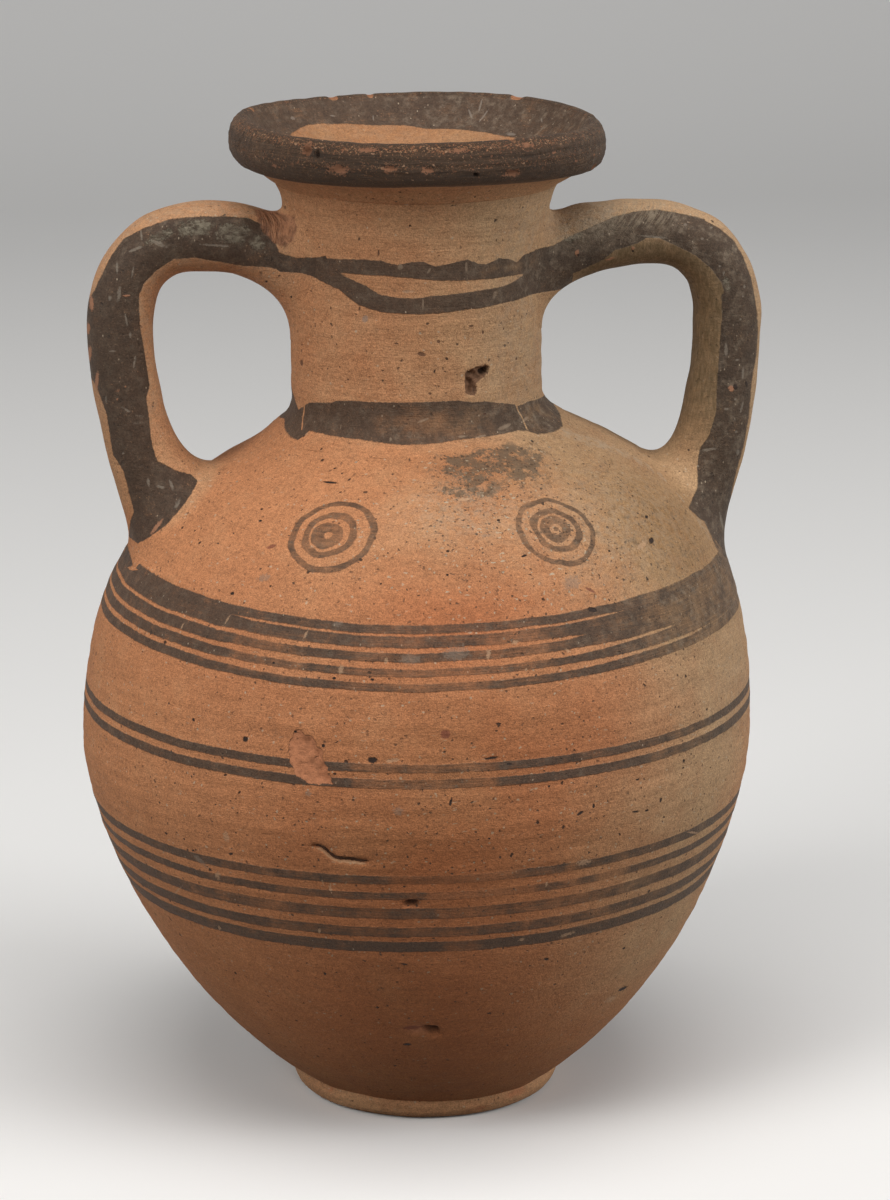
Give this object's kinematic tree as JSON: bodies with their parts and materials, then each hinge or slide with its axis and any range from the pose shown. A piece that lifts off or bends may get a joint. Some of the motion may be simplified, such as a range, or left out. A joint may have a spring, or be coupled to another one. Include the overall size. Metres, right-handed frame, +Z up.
{
  "type": "miniature amphora",
  "caption": "Small two-handled clay jar with a wide belly, low foot ring, tall neck, heavy funnel lip and strap handles, painted with dark bands and rings.",
  "frame": {"origin": "on the jar's axis, in the plane that the foot ring stands on", "axes": "+Z up along the jar's axis, the handles lie along +X and -X, and -Y is the painted front"},
  "size_m": [0.1118, 0.1118, 0.165],
  "materials": {
    "clay": "matte",
    "luting_clay": "matte",
    "lip_paint": "matte",
    "strap_paint": "matte"
  },
  "bodies": {
    "root": {"body": "clay", "foot_ring": "clay", "neck": "clay", "rim": "lip_paint", "handle_left": "strap_paint", "handle_right": "strap_paint", "upper_luting_left": "luting_clay", "upper_luting_right": "luting_clay", "lower_luting_left": "luting_clay", "lower_luting_right": "luting_clay"}
  },
  "joints": []
}
